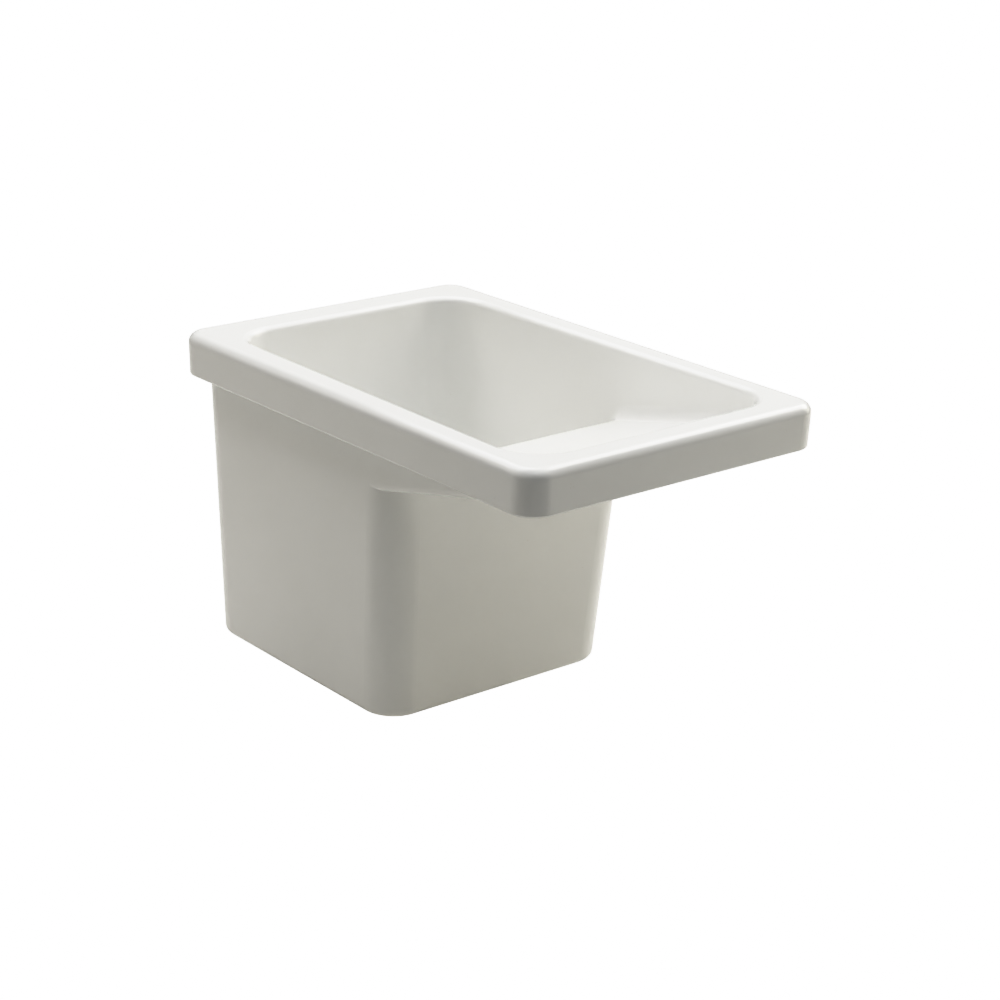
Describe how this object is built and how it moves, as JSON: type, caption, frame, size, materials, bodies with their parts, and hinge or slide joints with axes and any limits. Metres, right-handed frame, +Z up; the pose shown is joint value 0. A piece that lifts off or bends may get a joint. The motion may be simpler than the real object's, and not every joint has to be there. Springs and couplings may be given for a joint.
{
  "type": "laundry sink",
  "caption": "White ceramic laundry sink: deep bowl at the wall side, sloping scrubbing shelf at the front under a square rim, and a lift-out basket strainer waste.",
  "frame": {"origin": "middle of the wall face, level with the rim's bearing underside", "axes": "+X to the right of a person at the sink, +Y into the wall, so the person stands at -Y, and +Z up"},
  "size_m": [0.39, 0.6, 0.423],
  "materials": {
    "glazed_fireclay": "white gloss glaze over fired clay",
    "stainless_sheet": "satin pressed sheet",
    "stainless_bar": "turned, bright",
    "plated_knob": "bright nickel and chrome plate",
    "seal_rubber": "matt moulded",
    "waste_plastic": "moulded polypropylene, satin",
    "nut_brass": "machined"
  },
  "bodies": {
    "sink": {"basin": "glazed_fireclay", "strainer_cup": "stainless_sheet", "cup_seal": "seal_rubber", "foot_seal": "seal_rubber", "waste_body": "waste_plastic", "clamp_nut": "nut_brass", "clamp_screw": "stainless_bar", "screw_washer": "stainless_bar"},
    "strainer": {"basket": "stainless_sheet"},
    "stopper": {"plug": "seal_rubber", "plug_backing": "stainless_bar", "plug_stem": "stainless_bar", "stem_clip": "stainless_bar", "knob": "plated_knob"}
  },
  "joints": [
    {"name": "strainer_lift", "type": "slide", "parent": "sink", "child": "strainer", "axis": [0, 0, 1], "range_m": [0, 0.42]},
    {"name": "plug_lift", "type": "slide", "parent": "strainer", "child": "stopper", "axis": [0, 0, 1], "range_m": [0, 0.008]}
  ]
}
